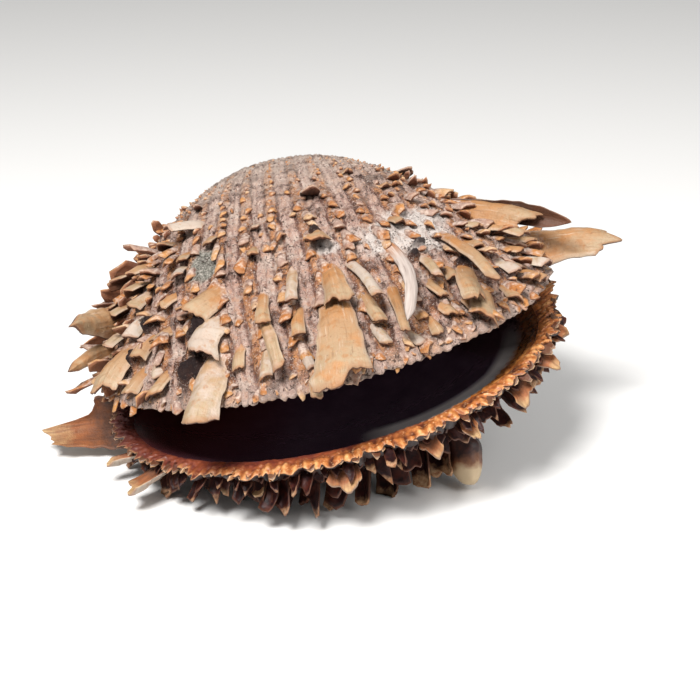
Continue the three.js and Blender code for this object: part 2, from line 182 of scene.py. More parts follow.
# Spines of the upper half: rib and growth line in degrees, length, width at the foot and at the tip,
# lift off the valve and turn aside from the rib, and for some of them more: roll about its own
# length, point (share of the length over which it narrows), slant (share by which one side is torn
# shorter), hollow (depth of its trough by its width), bow (sideways, in millimetres), thickness, jag (how
# unevenly its end is torn) and tint (orange at 0 to cream at 1, and over 1.2 lit from its inner side)
UPPER_SPINES = [
    (12, 11, 27, 3.4, 13, 8, -6, dict(slant=0.12, hollow=0.18, tint=0.3, jag=0.35)),
    (13, 14, 13.5, 3, 6, 14, -5, dict(hollow=0.4, tint=0.1)),
    (12, 20, 8, 3, 5, 35, 0),
    (14, 30, 6, 3, 4, 45, 0),
    (-21, 14, 10, 5, 8, 20, -35, dict(hollow=0.42, slant=0.1)),
    (-21, 10, 12, 6, 9, 15, -21, dict(hollow=0.42, slant=-0.12)),
    (-22, 5, 16.5, 6, 8.5, 14, -13, dict(hollow=0.4, point=0.1, jag=0.3)),
    (-55, 7, 14, 8, 7, 20, -21, dict(hollow=0.35, slant=0.15)),
    (-76, 12, 21.5, 9, 2.6, 34, 40, dict(roll=-120, point=0.2, hollow=0.5, thick=2, tint=0.4, jag=0.4)),
    (-78, 6, 14, 5, 1.8, 40, 28, dict(roll=-110, point=0.15, hollow=0.5, thick=1.8, tint=0.3, jag=0.4)),
    (-70, 16, 8, 3.5, 2.2, 35, 25, dict(hollow=0.5)),
    (-56, 23, 7.5, 3.6, 2.8, 40, 0, dict(hollow=0.5)),
    (-56, 19, 7, 3.4, 2.6, 40, 12, dict(hollow=0.5)),
    (-30, 30, 9, 3.4, 2.6, 40, -37, dict(hollow=0.5)),
    (-44, 27, 6, 2.8, 2.4, 40, 9, dict(hollow=0.5)),
    (-50, 16, 6, 3.4, 4.6, 30, -37, dict(hollow=0.45)),
    (-50, 12, 6.5, 3.4, 4, 25, -22, dict(hollow=0.45)),
    (52, 15, 27, 3, 3, 18, -10, dict(hollow=0.36, point=0.08)),
    (52, 9, 18, 3.5, 5, 15, -31, dict(hollow=0.36, slant=0.12, tint=0.2)),
    (52, 5, 14, 4, 6, 12, -30, dict(hollow=0.36, slant=-0.1, tint=0.4)),
    (75, 20, 18.5, 7, 8, 20, 22, dict(roll=55, hollow=0.5, tint=0.1, slant=-0.15)),
    (75, 21, 25.5, 5, 4.4, 24, 20, dict(roll=-80, point=0.2, hollow=0.5, tint=0.3)),
    (95, 4, 20.5, 10, 6, 36, 40, dict(roll=45, point=0.12, slant=-0.1, hollow=0.3, tint=0.3)),
    (74, 14, 12, 3, 2.4, 28, 8, dict(hollow=0.45)),
    (40, 12, 11, 2.4, 2.4, 25, -9),
    (38, 8, 7, 2.4, 2.6, 25, -5),
    (38, 5, 6, 2.6, 3.4, 20, 0),
    (19, 14, 16, 2.2, 2.4, 22, 8),
    (19, 9, 10, 2.4, 2.8, 20, 3),
    (27, 9, 15, 2.4, 1.8, 18, -8),
    (-7, 12, 9.5, 2.2, 2.8, 20, -1),
    (-8, 9, 16, 2.4, 2.8, 16, 13),
    (3, 15, 11.5, 2, 2.4, 20, -8),
    (2, 9, 9, 2, 2.8, 25, -6),
    (-15, 6, 6.5, 2.4, 3, 20, -3),
    (-8, 5, 7.5, 2.4, 2.6, 18, -4),
    (66, 40, 4, 3.5, 3.5, 40, 0),
    # shorter ones between them
    (-32, 37, 4.3, 2.2, 1.8, 40, 0),
    (-37, 10, 5.6, 2.6, 2.8, 25, -50),
    (67, 16, 5, 2.4, 2.4, 30, 8),
    (76, 8, 5, 2.6, 2.8, 35, 5),
    (26, 3, 5, 2, 2.4, 20, 19),
    (19, 5, 6.6, 2, 2.4, 20, 5),
    (-7, 25, 4, 2.2, 2.4, 35, 0),
    (-8, 20, 6, 2.2, 2.4, 35, 12),
    (2, 2.3, 8, 2, 2.4, 15, -7),
    (1, 4, 6.6, 2, 2.2, 30, 12),
    (-23, 25, 6, 2.4, 2.6, 30, 0),
    (-34, 23, 5.8, 2.4, 2.8, 30, 5),
    (-35, 20, 7, 2.6, 2.8, 30, 17),
    (32, 37, 3.5, 2.4, 2.4, 40, 0),
    (43, 30, 3.5, 2.4, 2.4, 40, 0),
    (71, 5.5, 4, 2.4, 2.4, 30, 0),
    (-41, 5.5, 4.8, 2.8, 3, 20, 2),
    (60, 3, 6, 3, 3.6, 18, -20, dict(hollow=0.45, tint=0.1)),
    (66, 6.5, 6.5, 3, 3.6, 22, -10, dict(hollow=0.45)),
    (72, 3, 6, 3.2, 3.6, 25, 0, dict(hollow=0.45, tint=0.2)),
    (80, 4, 6, 3, 3.4, 30, 10, dict(hollow=0.45)),
    (84, 9, 7, 3, 2.6, 35, 10, dict(hollow=0.45, tint=0)),
    (-45, 8.5, 6.5, 3.4, 4, 25, -25, dict(hollow=0.45, tint=0.05)),
    (-38, 3.5, 6, 3.2, 3.8, 22, -18, dict(hollow=0.45)),
    (-48, 4, 6.5, 3, 3.8, 24, -22, dict(hollow=0.45, tint=0.1)),
    (-62, 10, 7.5, 3.4, 3.4, 34, 0, dict(hollow=0.5)),
    (-36, 15, 5.5, 3, 3.6, 28, -30, dict(hollow=0.45, tint=0)),
    (-64, 15, 7.5, 3.4, 3, 38, 5, dict(hollow=0.5, tint=0.1)),
    (-70, 22, 8, 3.6, 2.8, 44, 12, dict(hollow=0.5, tint=0.1)),
    (45, 4, 5.5, 2.6, 3, 24, -10, dict(hollow=0.45, tint=0.05)),
    (45, 9, 5.5, 2.4, 2.8, 26, -8, dict(hollow=0.45, tint=0.1)),
    (33, 3.5, 5.5, 2.4, 2.8, 24, -6, dict(hollow=0.45, tint=0.05)),
    (59, 12, 5.5, 2.6, 2.8, 30, -8, dict(hollow=0.45, tint=0)),
    (38, 20, 5, 2.4, 2.4, 32, 0, dict(hollow=0.45, tint=0)),
]
CHALKY_SPINE = (31, 15, 27, 3.4, 2, 14, -14, dict(point=0.12, bow=2.4, hollow=0.3))
LOWER_SPINES = [
    (-66, 5, 8.5, 2.5, 1.6, 70, 60),
    (-47, 5, 9, 5, 4, 65, 50),
    (-37, 3, 7, 2.5, 2, 70, 40),
    (-28, 8, 6.5, 3, 2.5, 70, 40),
    (-19, 7, 7, 3, 3, 70, 50),
    (-10, 8, 7.5, 3.5, 3, 70, 35),
    (-1, 5, 6, 5, 6, 80, 10),
    (-3, 9, 9, 3, 3, 70, 40),
    (5, 9, 10, 4, 3, 70, 45),
    (12, 13, 10.5, 6, 5, 65, 45),
    (18, 5, 6, 4, 4, 80, 0),
    (21, 12, 10.5, 7, 5, 65, 40),
    (28, 13, 11, 7, 5, 62, 45),
    (32, 4, 5, 5, 6, 75, 0),
    (47, 10, 9, 4, 3, 60, 20),
    # shorter ones round the rim
    (55, 4, 5, 4.5, 4, 75, 10),
    (64, 3, 4.5, 3.6, 3.4, 75, 5),
    (72, 3, 5, 4.5, 4, 80, 0),
    (84, 2, 5, 2.7, 2.7, 70, 0),
    (40, 3, 4.5, 3, 2.7, 80, 10),
    (25, 3, 4, 3.6, 3.6, 80, 0),
    (8, 3, 4, 2, 1.8, 80, 0),
    (-22, 2, 3.5, 2.3, 1.8, 75, 0),
]
# Pale plates that stand out between the dark ones under the rim
LOWER_PALE_PLATES = [
    (-49, 2, 10.5, 6, 6.4, 34, 30, dict(hollow=0.35, slant=0.15, jag=0.5, tint=1.5)),
    (-61, 3, 9.5, 4, 2.4, 34, 40, dict(hollow=0.45, point=0.1, jag=0.5, tint=1.6)),
    (-19, 4, 5.5, 3.4, 3.8, 50, 25, dict(hollow=0.4, tint=1.5)),
    (2, 2, 6.5, 5, 7, 52, 5, dict(hollow=0.4, slant=0.15, tint=1.6)),
    (23, 2, 6.5, 3.6, 4.6, 52, 5, dict(hollow=0.55, slant=0.25, tint=1.6, jag=1.7)),
    (34, 2, 5.6, 2.6, 3.6, 50, 5, dict(hollow=0.6, tint=1.5, jag=1.7)),
    (51, 2, 6.2, 3.6, 4.6, 46, 5, dict(hollow=0.6, tint=1.5, jag=1.7)),
    (64, 1.5, 5.6, 3.6, 4.2, 46, 8, dict(hollow=0.6, tint=1.5, jag=1.7, slant=0.2)),
    (76, 1.5, 5, 3.2, 4, 44, 0, dict(hollow=0.6, tint=1.4, jag=1.7)),
]
TROUGH_SPINE = (-80, 3, 21, 13, 8, 33, 44, dict(
    roll=-60, point=0.16, slant=0.42, hollow=0.6, thick=1.5, tint=1.5, jag=0.8))
KNOB_SPINE = (35, 13, 14.5, 7, 7.6, 66, 42, dict(hollow=0.1, thick=6.4))

# Patches that stand out on the upper half: rib and growth line in degrees, and radius. The shadowed ones are
# painted shadow under the overhanging plates, and are also sunk into the skin
PATCHES = {
    "pale": [(42, 16.8, 8), (31, 17, 5.5), (13, 17.5, 2.6), (52, 20, 4)],
    "greenish": [(-25, 19.6, 4.2), (64, 40, 4)],
    "shadowed": [
        (-25, 9.4, 3.2), (-26, 6.6, 2.2), (-28, 4.4, 3), (-24, 2.6, 1.8), (-24, 13, 1.6), (12, 20.6, 1.2),
        (40, 13.8, 1.1), (37.5, 12.4, 1.3), (50, 8.6, 1.8), (57, 6, 1.6), (-45, 11, 1.6), (-52, 6, 1.6),
    ],
}
PATCH_RAGGED = 3
PATCH_NOISE = 2.4
HOLLOW_DEPTH = 2.2


def smooth(share):
    """A share from 0 to 1 that starts and ends gently."""
    share = np.clip(share, 0, 1)
    return share * share * (3 - 2 * share)


def scrambled(values):
    """A number from 0 to 1 that jumps about, but is always the same for the same value."""
    big = np.sin(values) * 43758.5453
    return big - np.floor(big)


def uneven(n):
    """The same for numbers."""
    return scrambled(np.asarray(n, dtype=float) * 12.9898)


def uneven_cell(cells, seed):
    """The same for cells of space."""
    return scrambled(cells @ np.array((12.9898, 78.233, 37.719)) + seed * 4.137)


def speckle(points, size, seed):
    """Soft noise from 0 to 1 whose patches are as big as size, in millimetres."""
    cells = points / size
    low = np.floor(cells)
    share = smooth(cells - low)
    total = np.zeros(points.shape[:-1])
    for corner in itertools.product((0, 1), repeat=3):
        near = np.where(np.array(corner) == 1, share, 1 - share)
        total += np.prod(near, axis=-1) * uneven_cell(low + corner, seed)
    return total


def lumps(points, kinds, seed=0):
    """Soft noise about 0, added up from several kinds, each with its size, its height and a seed."""
    return sum(height * (speckle(points, size, seed + own) - 0.5) for size, height, own in kinds)


def grains(points, size, seed):
    """Round grains, 1 at the middle of each and 0 between them, as big as size."""
    cells = points / size
    low = np.floor(cells)
    nearest = np.full(points.shape[:-1], 9.0)
    for step in itertools.product((-1, 0, 1), repeat=3):
        cell = low + step
        jitter = np.stack([uneven_cell(cell, seed + k) for k in (0.1, 0.4, 0.7)], axis=-1)
        nearest = np.minimum(nearest, np.linalg.norm(cell + 0.15 + 0.7 * jitter - cells, axis=-1))
    return np.clip(1 - nearest / 0.75, 0, 1)


def wavering(x, seed):
    """Smooth noise from 0 to 1 along x."""
    low = np.floor(x)
    share = smooth(x - low)
    return uneven(low + seed) * (1 - share) + uneven(low + 1 + seed) * share


def outline(phi, relief=0.0):
    """The lip seen from above: phi is 0 at the front and a half turn at the hinge."""
    backness = smooth((np.abs(phi) - math.pi / 2) / (math.pi / 4))
    power = FRONT_FULLNESS + (BACK_FULLNESS - FRONT_FULLNESS) * backness
    reach = (np.abs(np.sin(phi)) ** power + np.abs(np.cos(phi)) ** power) ** (-1 / power)
    half_depth = (VALVE_HEIGHT - HINGE_SETBACK) / 2
    x = VALVE_WIDTH / 2 * reach * np.sin(phi)
    y = -HINGE_SETBACK - half_depth * (1 + reach * np.cos(phi))
    return x + relief * np.sin(phi), y - relief * np.cos(phi)


def grown(valve, x, y, alpha):
    """A point of the lip carried by alpha along the growth turn, towards the beak."""
    shrink = np.exp(-valve["coil"] * alpha)
    return np.stack(np.broadcast_arrays(
        x * np.exp(-valve["narrowing"] * alpha) + valve["lean"] * (1 - np.exp(-alpha)),
        y * np.cos(alpha) * shrink,
        -valve["side"] * y * np.sin(alpha) * shrink,
    ), axis=-1)


def unit(vectors):
    """The same directions, all of length 1."""
    return vectors / np.maximum(np.linalg.norm(vectors, axis=-1, keepdims=True), 1e-12)


def axes_at(valve, phi, alpha):
    """A point of a valve, which way growth goes forward there, and which way is outward."""
    at = grown(valve, *outline(phi), alpha)
    forward = unit(grown(valve, *outline(phi), alpha - SMALL_TURN) - at)
    along = unit(grown(valve, *outline(phi + SMALL_TURN), alpha) - at)
    outward = unit(np.cross(along, forward))
    outward = np.where(outward[..., 2:] * valve["side"] < 0, -outward, outward)
    return at, forward, outward


def place(valve, points):
    """From the valve's own frame to the ground's, in metres, cut off flat at the scar."""
    opening = Matrix.Rotation(-GAPE, 3, "X") if valve is UPPER else Matrix.Identity(3)
    tilt = Matrix.Rotation(ROLL, 3, "Y") @ Matrix.Rotation(PITCH, 3, "X")
    turn = np.array(tilt @ opening)
    placed = points @ turn.T + np.array(HINGE_FROM_SCAR)
    placed[..., 2] = np.maximum(placed[..., 2], 0)
    return placed * MM


def make_piece(name, points, faces, facts, replaced=()):
    """A piece from its points and faces; facts are the named values that its finish reads."""
    mesh = bpy.data.meshes.new(name)
    mesh.from_pydata(points.reshape(-1, 3), [], faces)
    for fact, values in facts.items():
        layer = mesh.attributes.new(fact, "FLOAT", "POINT")
        layer.data.foreach_set("value", np.ascontiguousarray(values, dtype=np.float32).ravel())
    piece = bpy.data.objects.new(name, mesh)
    bpy.context.collection.objects.link(piece)
    bpy.ops.object.select_all(action="DESELECT")
    piece.select_set(True)
    bpy.context.view_layer.objects.active = piece
    bpy.ops.object.shade_smooth()
    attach(piece, "root")
    for node in replaced:
        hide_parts(node)
    return piece


def turned_out(points, faces):
    """The faces, turned over if they point inwards."""
    corners = points.reshape(-1, 3)
    first = np.array([face[:3] for face in faces])
    a, b, c = corners[first[:, 0]], corners[first[:, 1]], corners[first[:, 2]]
    if np.einsum("ij,ij->i", a, np.cross(b, c)).sum() < 0:
        return [tuple(reversed(face)) for face in faces]
    return faces


def column_angles(columns):
    """Round the lip, closer together at the front, where the camera looks."""
    share = np.linspace(-1, 1, columns, endpoint=False)
    return math.pi * ((1 - FRONT_CROWDING) * share + FRONT_CROWDING * share ** 3)


def rib_profile(phi, wander):
    """How high the ribs and the riblets between them stand, from 0 to 1, and their fine threads."""
    place_in_rib = (np.degrees(phi) + wander) / (360 / RIBS)
    from_rib = np.abs(place_in_rib % 1 - 0.5)
    crests = smooth((CREST_HALF_WIDTH - np.abs(from_rib - CREST_AT)) / CREST_SLOPE)
    saddle = SADDLE_HEIGHT * smooth((SADDLE_HALF_WIDTH - from_rib) / SADDLE_SLOPE)
    riblet = smooth((from_rib - RIBLET_FROM) / RIBLET_SLOPE)
    threads = np.cos(2 * math.pi * place_in_rib * THREADS_TO_A_RIB)
    return np.maximum(crests, saddle), riblet, threads


def bare_skin(valve, phi, growth, relief=0):
    """The outside of a valve before its crust, drawn in to a rounded beak where the growth turn ends."""
    past = np.clip((growth - valve["turns"]) / BEAK_ROUNDING, 0, 1)
    opened = np.sqrt(1 - past * past)
    x, y = outline(phi, relief)
    return grown(valve, x * opened, (y - MIDDLE_Y) * opened + MIDDLE_Y, growth)


def crusted_skin(valve, phi, alpha, crust):
    """The outside of a valve with its ribs and crust, what each point of it is, and the same at the lip."""
    last = valve["turns"] + BEAK_ROUNDING
    bare = bare_skin(valve, phi, alpha)
    rib, riblet, threads = rib_profile(phi, lumps(bare, RIB_WANDER, valve["seed"]))
    fade = 1 - smooth((np.abs(np.degrees(phi)) - RIB_FADE_FROM) / RIB_FADE_OVER)
    relief = RIB_RELIEF * fade * (np.maximum(rib, RIBLET_HEIGHT * riblet) + THREAD_HEIGHT * threads * rib)
    if valve is LOWER:
        teeth = wavering(np.degrees(phi) / LIP_TEETH_SPACING + 40, 5) - 0.5
        relief = relief + LIP_TEETH_DEPTH * fade * teeth * np.exp(-alpha / LIP_TEETH_FADE)
    ribbed = bare_skin(valve, phi, alpha, relief)
    across = bare_skin(valve, phi + SMALL_TURN, alpha) - bare_skin(valve, phi - SMALL_TURN, alpha)
    towards_beak = np.minimum(alpha + SMALL_TURN, last)
    towards_lip = bare_skin(valve, phi, alpha - SMALL_TURN) - bare_skin(valve, phi, towards_beak)
    outward = unit(np.cross(across, towards_lip))
    thinned = np.exp(-CRUST_THINNING * alpha) * np.clip((last - alpha) / CRUST_STOPS, 0, 1)
    found = spots(valve, bare)
    heights = crust(ribbed, alpha, rib) - HOLLOW_DEPTH * found["shadowed"]
    outer = ribbed + outward * (heights * thinned)[..., None]
    hill = np.clip(0.5 + (heights - heights.mean()) / (4 * heights.std()), 0, 1)
    facts = {"rib": rib * fade, "riblet": riblet * fade, "hill": hill, **found}
    return outer, facts, {"rib": rib[-1], "riblet": riblet[-1]}


def hollow_skin(valve, phi, growth):
    """The inside of a valve: the same spiral, drawn in from the lip and kept off the hinge plate."""
    deepening = (VALVE_HEIGHT - LIP_DEPTH - HINGE_PLATE) / VALVE_HEIGHT
    lean = valve["lean"] * (1 - np.exp(-growth))
    inside = grown(valve, *outline(phi), growth)
    inside[..., 0] = (inside[..., 0] - lean) * LIP_SHARE + lean
    inside[..., 1] = np.minimum(inside[..., 1], -HINGE_SETBACK) * deepening - HINGE_PLATE
    inside[..., 2] *= valve["hollow"]
    return inside


def pimpled_side(inner, growth, phi):
    """The pimples of the rim, which go on down the raised right side of the lower hollow."""
    down_to = smooth((SIDE_PIMPLES_TO - growth) / 0.08) * smooth(growth / 0.01)
    on_right = smooth((np.degrees(phi) - SIDE_PIMPLES_FROM) / 30)
    height = SIDE_PIMPLE_HEIGHT * grains(inner, SIDE_PIMPLE, 33) + 0.5 * speckle(inner, 3, 5)
    towards_middle = unit(np.array((0, MIDDLE_Y, 0)) - inner)
    return inner + towards_middle * (down_to * on_right * height)[..., None]


def skin_faces(columns, rings):
    """Quads from ring to ring, and triangles to the first point, the beak, and to the last, in the hollow."""
    step = np.arange(columns)
    after = (step + 1) % columns
    base = 1 + columns * np.arange(rings - 1)[:, None]
    quads = np.stack((base + step, base + after, base + columns + after, base + columns + step), axis=-1)
    end = 1 + columns * (rings - 1)
    at_beak = [(0, int(b), int(a)) for a, b in zip(1 + step, 1 + after)]
    in_hollow = [(end + columns, int(a), int(b)) for a, b in zip(end + step, end + after)]
    return [tuple(face) for face in quads.reshape(-1, 4).tolist()] + at_beak + in_hollow


def valve_wall(name, valve, columns, rows, crust, replaced):
    """One skin that grows from the beak to the lip, over the flat rim and down into the hollow.

    A valve is a log spiral, so its points come from the growth turn itself: no primitive has it.
    """
    phi = column_angles(columns)
    outer_rows, rim_rows, inner_rows = rows
    last = valve["turns"] + BEAK_ROUNDING
    from_lip = np.linspace(1, 0, outer_rows + 1)[1:]
    alpha = (last * ((1 - LIP_CROWDING) * from_lip + LIP_CROWDING * from_lip ** 2.2))[:, None]
    outer, outside, lip = crusted_skin(valve, np.broadcast_to(phi, (outer_rows, columns)), alpha, crust)

    inner_alpha = (math.pi / 2 * np.linspace(0, 1, inner_rows) ** 2)[:, None]
    inner = hollow_skin(valve, phi, inner_alpha)
    if valve is LOWER:
        inner = pimpled_side(inner, inner_alpha, phi)
    rim_share = (np.arange(1, rim_rows + 1) / (rim_rows + 1))[:, None, None]
    rim = outer[-1] * (1 - rim_share) + inner[0] * rim_share
    rim, rim_hill = rim_detail(valve, rim, rim_share[..., 0], np.degrees(phi))
    back = inner[-1].mean(axis=0)
    closing = np.stack([inner[-1] * (1 - k) + back * k for k in CLOSING_SHARES])
    rings = np.concatenate((outer, rim, inner, closing))
    beak = bare_skin(valve, np.zeros(1), np.array([last]))[0]
    points = np.concatenate((beak[None], rings.reshape(-1, 3), back[None]))
    faces = skin_faces(columns, len(rings))

    def spread(outer_values, rim_values, inner_values):
        parts = (outer_values, rim_values, inner_values)
        rows_of = (outer_rows, rim_rows, inner_rows + 2)
        full = [np.broadcast_to(part, (n, columns)).ravel() for part, n in zip(parts, rows_of)]
        return np.concatenate(([full[0][0]], *full, [full[2][-1]]))

    depth = np.append(inner_alpha[:, 0], CLOSING_DEPTHS)[:, None]
    turn = np.degrees(phi)[None]
    facts = {fact: spread(values, lip.get(fact, 0), 0) for fact, values in outside.items()}
    facts["hill"] = spread(outside["hill"], rim_hill, 0.5)
    facts["age"] = spread(alpha, 0, 0)
    facts["rim"] = spread(0, rim_share[..., 0], 1)
    facts["inside"] = spread(0, 0, np.maximum(depth, 0.001))
    facts["turn"] = spread(turn, turn, turn)
    placed = place(valve, points)
    return make_piece(name, placed, turned_out(placed - placed.mean(axis=0), faces), facts, replaced)


def spots(valve, bare):
    """How far each kind of patch covers each point, from 0 to 1, with a ragged edge."""
    found = {}
    for fact, patches in PATCHES.items():
        cover = np.zeros(bare.shape[:-1])
        if valve is UPPER:
            for rib, growth, radius in patches:
                middle = grown(valve, *outline(math.radians(rib)), math.radians(growth))
                away = np.linalg.norm(bare - middle, axis=-1)
                ragged = away + min(PATCH_RAGGED, radius) * (speckle(bare, PATCH_NOISE, 21) - 0.5)
                cover = np.maximum(cover, smooth(1.5 - ragged / radius))
        found[fact] = cover
    return found


def rim_detail(valve, rim, share, turn):
    """Pimples and ridges on the rim, its crenulated outer edge, and the sockets in the hinge plate."""
    front = 1 - smooth((np.abs(turn) - RIM_DETAIL_TO) / RIM_DETAIL_FADE)
    swell = np.sin(math.pi * np.clip(share, 0, 1)) ** 0.7
    wavy_turn = turn + 1.5 * speckle(rim, 4, 8)
    ridges = (0.5 + 0.5 * np.cos(math.radians(360) * wavy_turn / RIM_RIDGE_SPACING)) * (1 - share) ** 1.5
    pimples = PIMPLE_HEIGHT * grains(rim, PIMPLE, 31) * smooth(share * 4)
    rise = pimples + RIM_RIDGE_HEIGHT * ridges + lumps(rim, ((3.0, 0.5, 5),))
    rim[..., 2] += -valve["side"] * front * (swell * 0.35 + (0.3 + 0.7 * swell) * rise)
    if valve is UPPER:
        for x in (-TOOTH_X, TOOTH_X):
            away = np.hypot(rim[..., 0] - x, rim[..., 1] - TOOTH_Y)
            rim[..., 2] += SOCKET_DEPTH * (1 - smooth((away - SOCKET_RADIUS) / SOCKET_SLOPE))
    return rim, np.clip(0.1 + rise, 0, 1)


def upper_crust(points, alpha, rib):
    """Growth steps and granular lime on the upper half, in millimetres."""
    stagger = 0.5 * speckle(points, 9, 51) + 0.35 * (rib > 0.5)
    step = (alpha / UPPER_STEP + stagger * 2.2) % 1
    steps = UPPER_STEP_HEIGHT * (1 - step) ** 2 * (0.35 + rib)
    grit = GRIT_HEIGHT * (speckle(points, GRIT, 63) - 0.5) * (0.4 + 0.6 * speckle(points, 5, 64))
    lime = LIME_HEIGHT * grains(points, LIME_GRAIN, 71) * smooth((speckle(points, 5, 66) - 0.25) / 0.4)
    return steps + lumps(points, UPPER_LUMPS) + grit + lime


def lower_crust(points, alpha, rib):
    """Growth steps and a rough surface on the lower half, in millimetres."""
    step = (alpha / LOWER_STEP + 1.6 * speckle(points, 9, 52)) % 1
    return LOWER_STEP_HEIGHT * (1 - step) ** 2 * (0.4 + rib) + lumps(points, LOWER_LUMPS)


def torn_off(u, widest, length, jag, point, lopsided, number):
    """How much of a plate's end is gone, in millimetres: torn unevenly, a little deeper at its corners."""
    broad = wavering((u + 1) * widest * 0.32, number * 7.7)
    narrow = wavering((u + 1) * widest, number * 3.3)
    lean = u * (uneven(number * 1.9) - 0.5)
    tear = 0.65 * broad + 0.35 * narrow + 0.5 * lean + 0.3 * np.abs(u) ** 3
    torn = np.clip(jag * (0.5 + 0.22 * widest) * tear, 0, 0.4 * length)
    torn = torn + point * length * np.abs(u) ** 1.3
    torn = torn + np.abs(lopsided) * length * smooth((u * np.sign(lopsided) + 0.05) / 0.45)
    return np.minimum(torn, MOST_TORN * length)


def leafy_relief(u, far, share, length, widest, number):
    """The fibres and the leaves of a plate's back, in millimetres, and the place in a leaf, from 0 to 1."""
    wide_fibres = wavering((u + 2) * widest * 0.9, number * 2.1)
    fine_fibres = wavering((u + 2) * widest * 2.2, number * 4.3)
    fibres = FIBRE_DEPTH * (wide_fibres + 0.6 * fine_fibres - 0.8)
    wavy_edge = 0.5 * wavering((u + 1) * widest * 0.5, number * 9.1)
    leaf = (far * length / LEAF_LENGTH + wavy_edge + uneven(number)) % 1
    leaves = LEAF_STEP * (1 - leaf) ** 2 * smooth(share * 3)
    return fibres + leaves, leaf


def plates(valve, rows, seed, rings, across, thickness, jag, root, sink, rounded, hollow):
    """Many spines at once: points (spine, ring, loop, xyz) and what each point is."""
    usual = dict(roll=0, point=0, slant=0, hollow=hollow, bow=0, thick=thickness, tint=-1, jag=jag)
    more = [{**usual, **(row[7] if len(row) > 7 else {})} for row in rows]
    roll, point, lopsided, trough, bow, thick, tint, jag = (
        np.array([extra[key] for extra in more])[:, None, None] for key in usual)
    rows = np.array([row[:7] for row in rows], dtype=float)
    length, foot, tip, lift, turn = (rows[:, k, None, None] for k in range(2, 7))
    number = np.arange(len(rows))[:, None, None] * 1.0 + seed
    lift, turn, roll = np.radians(lift), np.radians(turn), np.radians(roll)
    at, forward, outward = axes_at(valve, np.radians(rows[:, 0]), np.radians(rows[:, 1]))
    aside = np.cross(outward, forward)
    at, forward, outward, aside = (v[:, None, None, :] for v in (at, forward, outward, aside))
    heading = forward * np.cos(turn)[..., None] + aside * np.sin(turn)[..., None]
    level = np.cross(outward, heading)

    # round the section: over the back from side to side, and home again under it
    side = np.linspace(-1, 1, across)
    u = np.concatenate((side, side[::-1]))[None, None, :]
    under = np.concatenate((np.zeros(across), np.ones(across)))[None, None, :]
    share = np.linspace(0, 1, rings)[None, :, None]
    widest = np.maximum(foot, tip)
    full_detail = np.minimum(1, widest / FULL_DETAIL_WIDTH)
    torn = torn_off(u, widest, length, jag, point, lopsided, number)
    far = share * (1 - torn / length * smooth((share - 0.25) / 0.75))

    # along its length: an arc that leaves the valve at its lift and bends back over it
    start_tilt = lift + SPINE_BEND / 2
    tilt = start_tilt - SPINE_BEND * far
    radius = (length + root) / SPINE_BEND
    run = radius * (np.sin(start_tilt) - np.sin(tilt))
    rise = radius * (np.cos(tilt) - np.cos(start_tilt))
    direction = heading * np.cos(tilt)[..., None] + outward * np.sin(tilt)[..., None]
    first = heading * np.cos(start_tilt)[..., None] + outward * np.sin(start_tilt)[..., None]
    centre = at - first * root - outward * sink + heading * run[..., None] + outward * rise[..., None]
    snaking = SPINE_SNAKING * widest * (wavering(far * 2.2, number * 6.1) - 0.5) * far
    centre = centre + level * (bow * far * (1 - far) * 4 + snaking)[..., None]
    turned = np.cross(direction, np.broadcast_to(level, direction.shape)) * np.sin(roll)[..., None]
    sideways = level * np.cos(roll)[..., None] + turned
    up = np.cross(direction, sideways)

    # across it: a trough with an uneven width, waves, and one edge curled up
    ragged = 0.1 * (wavering(far * length * 0.6, number * 5.1 + 40 * (u > 0)) - 0.5) * np.abs(u)
    swell = 1 + ragged * smooth(share * 3) * 1.6 + 0.08 * (wavering(far * 3, number * 8.3) - 0.5)
    width = (foot + (tip - foot) * far) * swell
    depth = width * (0.4 * trough + 0.6 * trough * far)
    rough, leaf = leafy_relief(u, far, share, length, widest, number)
    rough = rough * full_detail
    wave = WAVE_HEIGHT * (wavering(far * length / WAVE_LENGTH + u * 0.8, number * 2.9) - 0.5) * full_detail
    curled = np.sign(uneven(number * 3.7) - 0.5)
    curl = width * CURL_SHARE * uneven(number * 5.3) * smooth((u * curled - 0.45) / 0.55) * smooth(far * 1.6)
    if rounded:
        past = np.clip(share - KNOB_ROUNDED_FROM, 0, 1) / (1.01 - KNOB_ROUNDED_FROM)
        close = np.sqrt(np.clip(1 - past ** 2, 0, 1))
        wall = thick * np.sqrt(np.clip(1 - u * u, 0.0004, 1)) * close
        width = width * close
        curl = wave = rough = 0 * u
    else:
        wall = thick * (1 - 0.5 * far) * (1 - 0.6 * np.abs(u) ** 3)
    height = depth * (1 - u * u) + wave + curl + np.where(under > 0, -wall / 2, wall / 2 + rough)
    points = centre + sideways * (u * width / 2)[..., None] + up * height[..., None]
    facts = {
        "along": far,
        "across": u * width / 2,
        "reach": far * length,
        "under": under,
        "edge": np.abs(u),
        "torn": smooth((share - 0.9) / 0.1),
        "leaf": leaf,
        "tint": np.where(tint < 0, uneven(number * 1.37), tint),
    }
    return points, {name: np.broadcast_to(values, points.shape[:-1]) for name, values in facts.items()}


def plate_faces(count, rings, loop):
    """The faces of every plate: round it from ring to ring, and closed at its foot and its end."""
    around = []
    for ring in range(rings - 1):
        here, beyond = ring * loop, (ring + 1) * loop
        for k in range(loop):
            after = (k + 1) % loop
            around.append((here + k, here + after, beyond + after, beyond + k))
    last = (rings - 1) * loop
    for k in range(loop // 2 - 1):
        around.append((k, loop - 1 - k, loop - 2 - k, k + 1))
        around.append((last + k, last + k + 1, last + loop - 2 - k, last + loop - 1 - k))
    one = np.array(around)
    every = one[None] + (np.arange(count) * rings * loop)[:, None, None]
    return [tuple(face) for face in every.reshape(-1, 4).tolist()]


